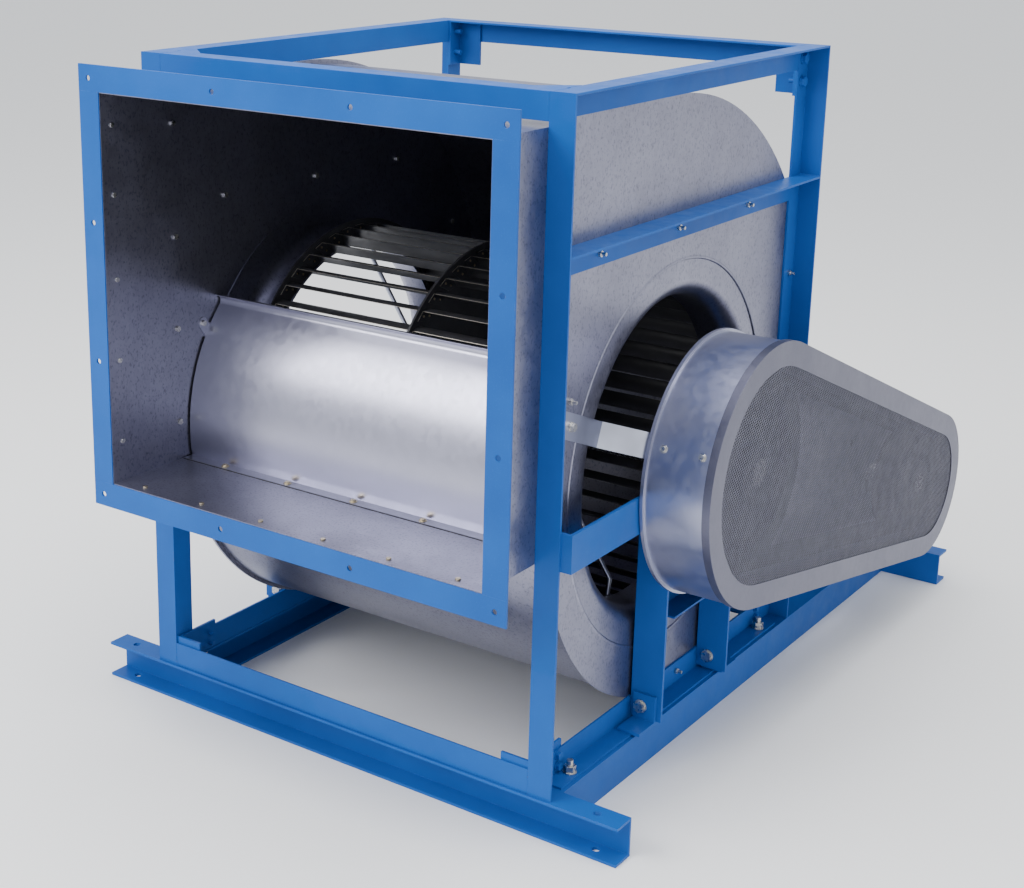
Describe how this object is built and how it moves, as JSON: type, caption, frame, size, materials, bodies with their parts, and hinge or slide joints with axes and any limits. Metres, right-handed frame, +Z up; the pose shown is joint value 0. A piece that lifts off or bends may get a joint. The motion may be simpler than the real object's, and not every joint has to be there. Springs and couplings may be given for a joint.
{
  "type": "double-inlet centrifugal blower with wheel, belt drive and frame",
  "caption": "Double-inlet centrifugal blower: forward-curved wheel in a galvanised scroll, blue angle frame, flanged outlet, guarded belt drive to a rear motor.",
  "frame": {"origin": "centre of the four base mounting holes, on the floor plane", "axes": "+X along the fan shaft towards the belt drive, -Y out through the outlet flange, +Z up"},
  "size_m": [1.1555, 1.626, 1.223],
  "materials": {
    "blue_paint": "semi-gloss blue enamel",
    "galvanised": "spangled galvanised sheet",
    "smooth_galvanised": "smooth galvanised sheet",
    "guard_mesh": "perforated galvanised sheet",
    "strap_steel": "bright zinc",
    "dark_steel": "dark satin",
    "bright_steel": "ground",
    "zinc_fasteners": "zinc plated",
    "blue_bolts": "painted over",
    "cast_iron_grey": "dark grey paint",
    "motor_paint": "grey-blue paint",
    "rail_paint": "blue enamel",
    "black_plastic": "moulded",
    "belt_rubber": "matt"
  },
  "bodies": {
    "frame": {"base_channel_front": "blue_paint", "base_channel_rear": "blue_paint", "base_channel_cross": "blue_paint", "base_channels_side": "blue_paint", "posts_front": "blue_paint", "posts_rear": "blue_paint", "top_rails_side": "blue_paint", "top_rails_cross": "blue_paint", "mid_rails": "blue_paint", "sole_angles": "blue_paint", "sole_rails": "blue_paint", "corner_brackets": "blue_paint", "bearing_beams": "blue_paint", "uprights": "blue_paint", "upright_ties": "blue_paint", "flange_top": "blue_paint", "flange_bottom": "blue_paint", "flange_sides": "blue_paint", "side_plate_right": "galvanised", "side_plate_left": "galvanised", "inlet_cone_right": "galvanised", "inlet_cone_left": "galvanised", "scroll_wrapper": "galvanised", "duct_floor": "galvanised", "guard_back": "galvanised", "guard_wall": "galvanised", "guard_cover": "galvanised", "cutoff_plate": "smooth_galvanised", "guard_mesh": "guard_mesh", "guard_strap": "strap_steel", "bearing_bolts": "zinc_fasteners", "guard_screws": "zinc_fasteners", "casing_bolts": "zinc_fasteners", "outlet_screws": "zinc_fasteners", "frame_bolts": "zinc_fasteners", "bracket_bolts": "blue_bolts", "pillow_blocks": "cast_iron_grey", "slide_rails": "rail_paint", "belts": "belt_rubber"},
    "fan_rotor": {"fan_shaft": "bright_steel", "bearing_rings": "bright_steel", "wheel_hub": "dark_steel", "hub_bolts": "zinc_fasteners", "centre_disc": "dark_steel", "end_rings": "dark_steel", "blades_right": "dark_steel", "blades_left": "dark_steel", "wheel_rivets": "zinc_fasteners", "stay_rods": "bright_steel", "fan_pulley": "cast_iron_grey"},
    "motor_carriage": {"motor_frame": "motor_paint", "motor_shields": "motor_paint", "motor_cowl": "motor_paint", "motor_terminal_box": "motor_paint", "adjusting_screws": "zinc_fasteners", "motor_bolts": "zinc_fasteners"},
    "motor_rotor": {"motor_shaft": "bright_steel", "motor_fan": "black_plastic", "motor_pulley": "cast_iron_grey"}
  },
  "joints": [
    {"name": "fan_spin", "type": "hinge", "parent": "frame", "child": "fan_rotor", "pos_m": [0, -0.288, 0.541], "axis": [1, 0, 0], "continuous": true},
    {"name": "motor_slide", "type": "slide", "parent": "frame", "child": "motor_carriage", "axis": [0, 1, 0], "range_m": [-0.02, 0.015], "deforming": ["belts"]},
    {"name": "motor_spin", "type": "hinge", "parent": "motor_carriage", "child": "motor_rotor", "pos_m": [0, 0.54, 0.285], "axis": [1, 0, 0], "continuous": true}
  ],
  "couplings": [
    {"joint": "motor_spin", "follows": "fan_spin", "ratio": 1.7647}
  ]
}
